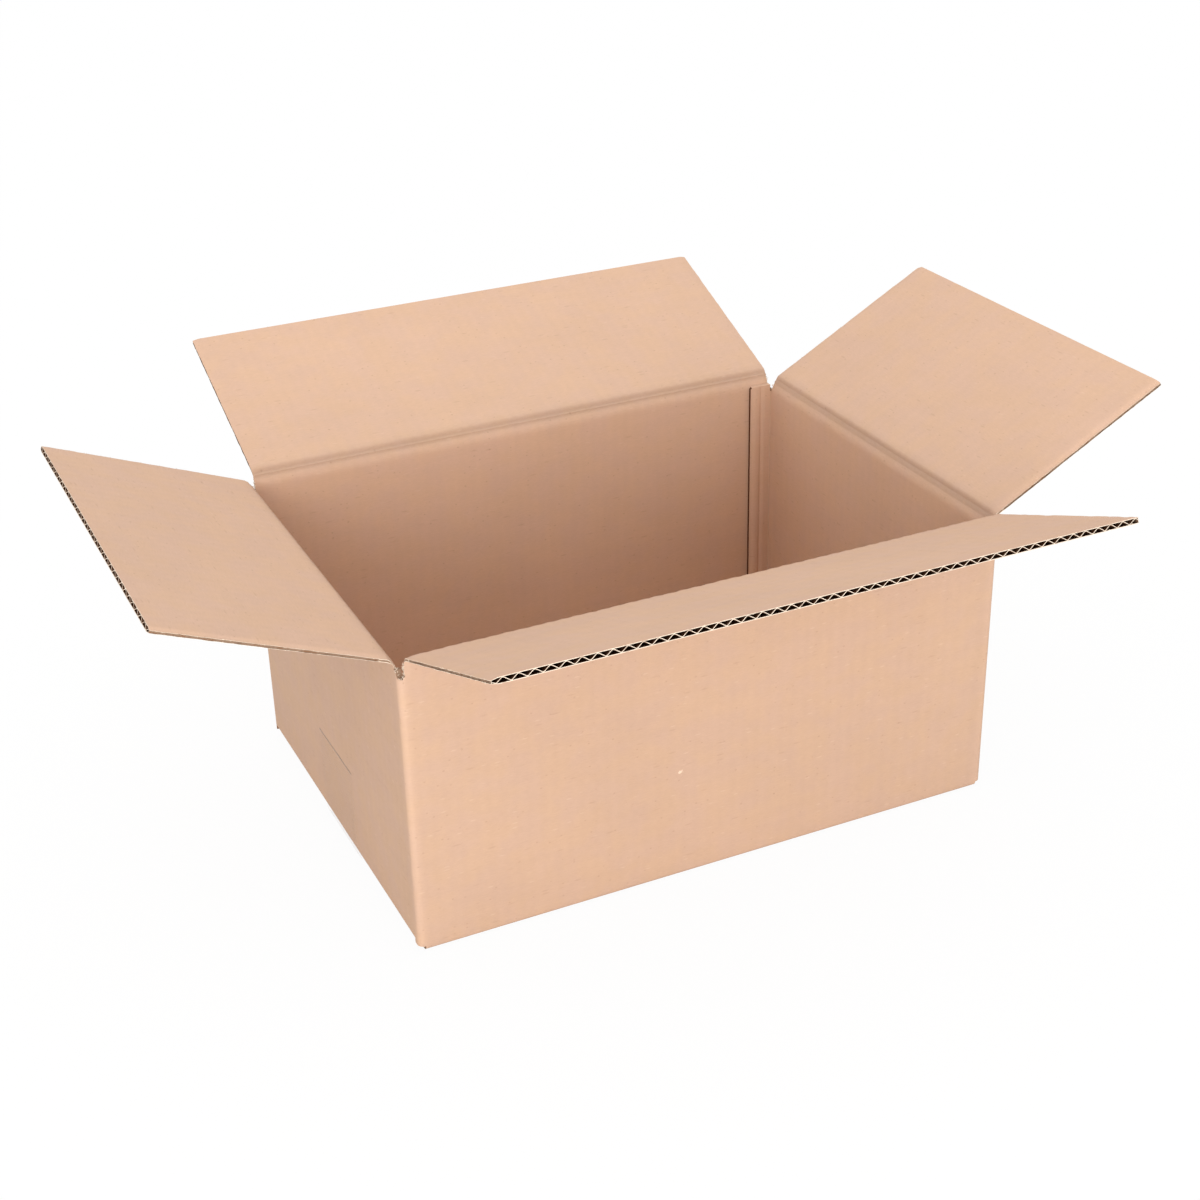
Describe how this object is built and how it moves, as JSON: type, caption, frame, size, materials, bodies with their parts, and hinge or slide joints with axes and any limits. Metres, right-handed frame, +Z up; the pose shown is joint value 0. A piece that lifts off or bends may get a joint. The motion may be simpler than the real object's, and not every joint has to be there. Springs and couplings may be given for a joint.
{
  "type": "open cardboard box",
  "caption": "Open slotted carton of corrugated board: folded walls, a taped bottom and hinged top flaps standing open.",
  "frame": {"origin": "on the floor under the middle of the carton, where the base mount lies", "axes": "+X along the long walls, +Z up, the front wall towards -Y"},
  "size_m": [0.4998, 0.4191, 0.2007],
  "materials": {
    "board": "matt kraft liner",
    "flap_board": "matt kraft liner",
    "clear_tape": "clear glossy film"
  },
  "bodies": {
    "carton": {"carton_body": "board", "bottom_tape": "clear_tape"},
    "front_flap": {"front_top_flap": "flap_board"},
    "back_flap": {"back_top_flap": "flap_board"},
    "left_flap": {"left_top_flap": "flap_board"},
    "right_flap": {"right_top_flap": "flap_board"}
  },
  "joints": [
    {"name": "front_flap_crease", "type": "hinge", "parent": "carton", "child": "front_flap", "pos_m": [0, -0.11015, 0.15045], "axis": [1, 0, 0], "range_deg": [-158.5, 106.5]},
    {"name": "back_flap_crease", "type": "hinge", "parent": "carton", "child": "back_flap", "pos_m": [0, 0.11015, 0.15045], "axis": [-1, 0, 0], "range_deg": [-158.3, 106.7]},
    {"name": "left_flap_crease", "type": "hinge", "parent": "carton", "child": "left_flap", "pos_m": [-0.15315, 0, 0.14745], "axis": [0, -1, 0], "range_deg": [-158.3, 106.7]},
    {"name": "right_flap_crease", "type": "hinge", "parent": "carton", "child": "right_flap", "pos_m": [0.15315, 0, 0.14745], "axis": [0, 1, 0], "range_deg": [-151.7, 113.3]}
  ]
}
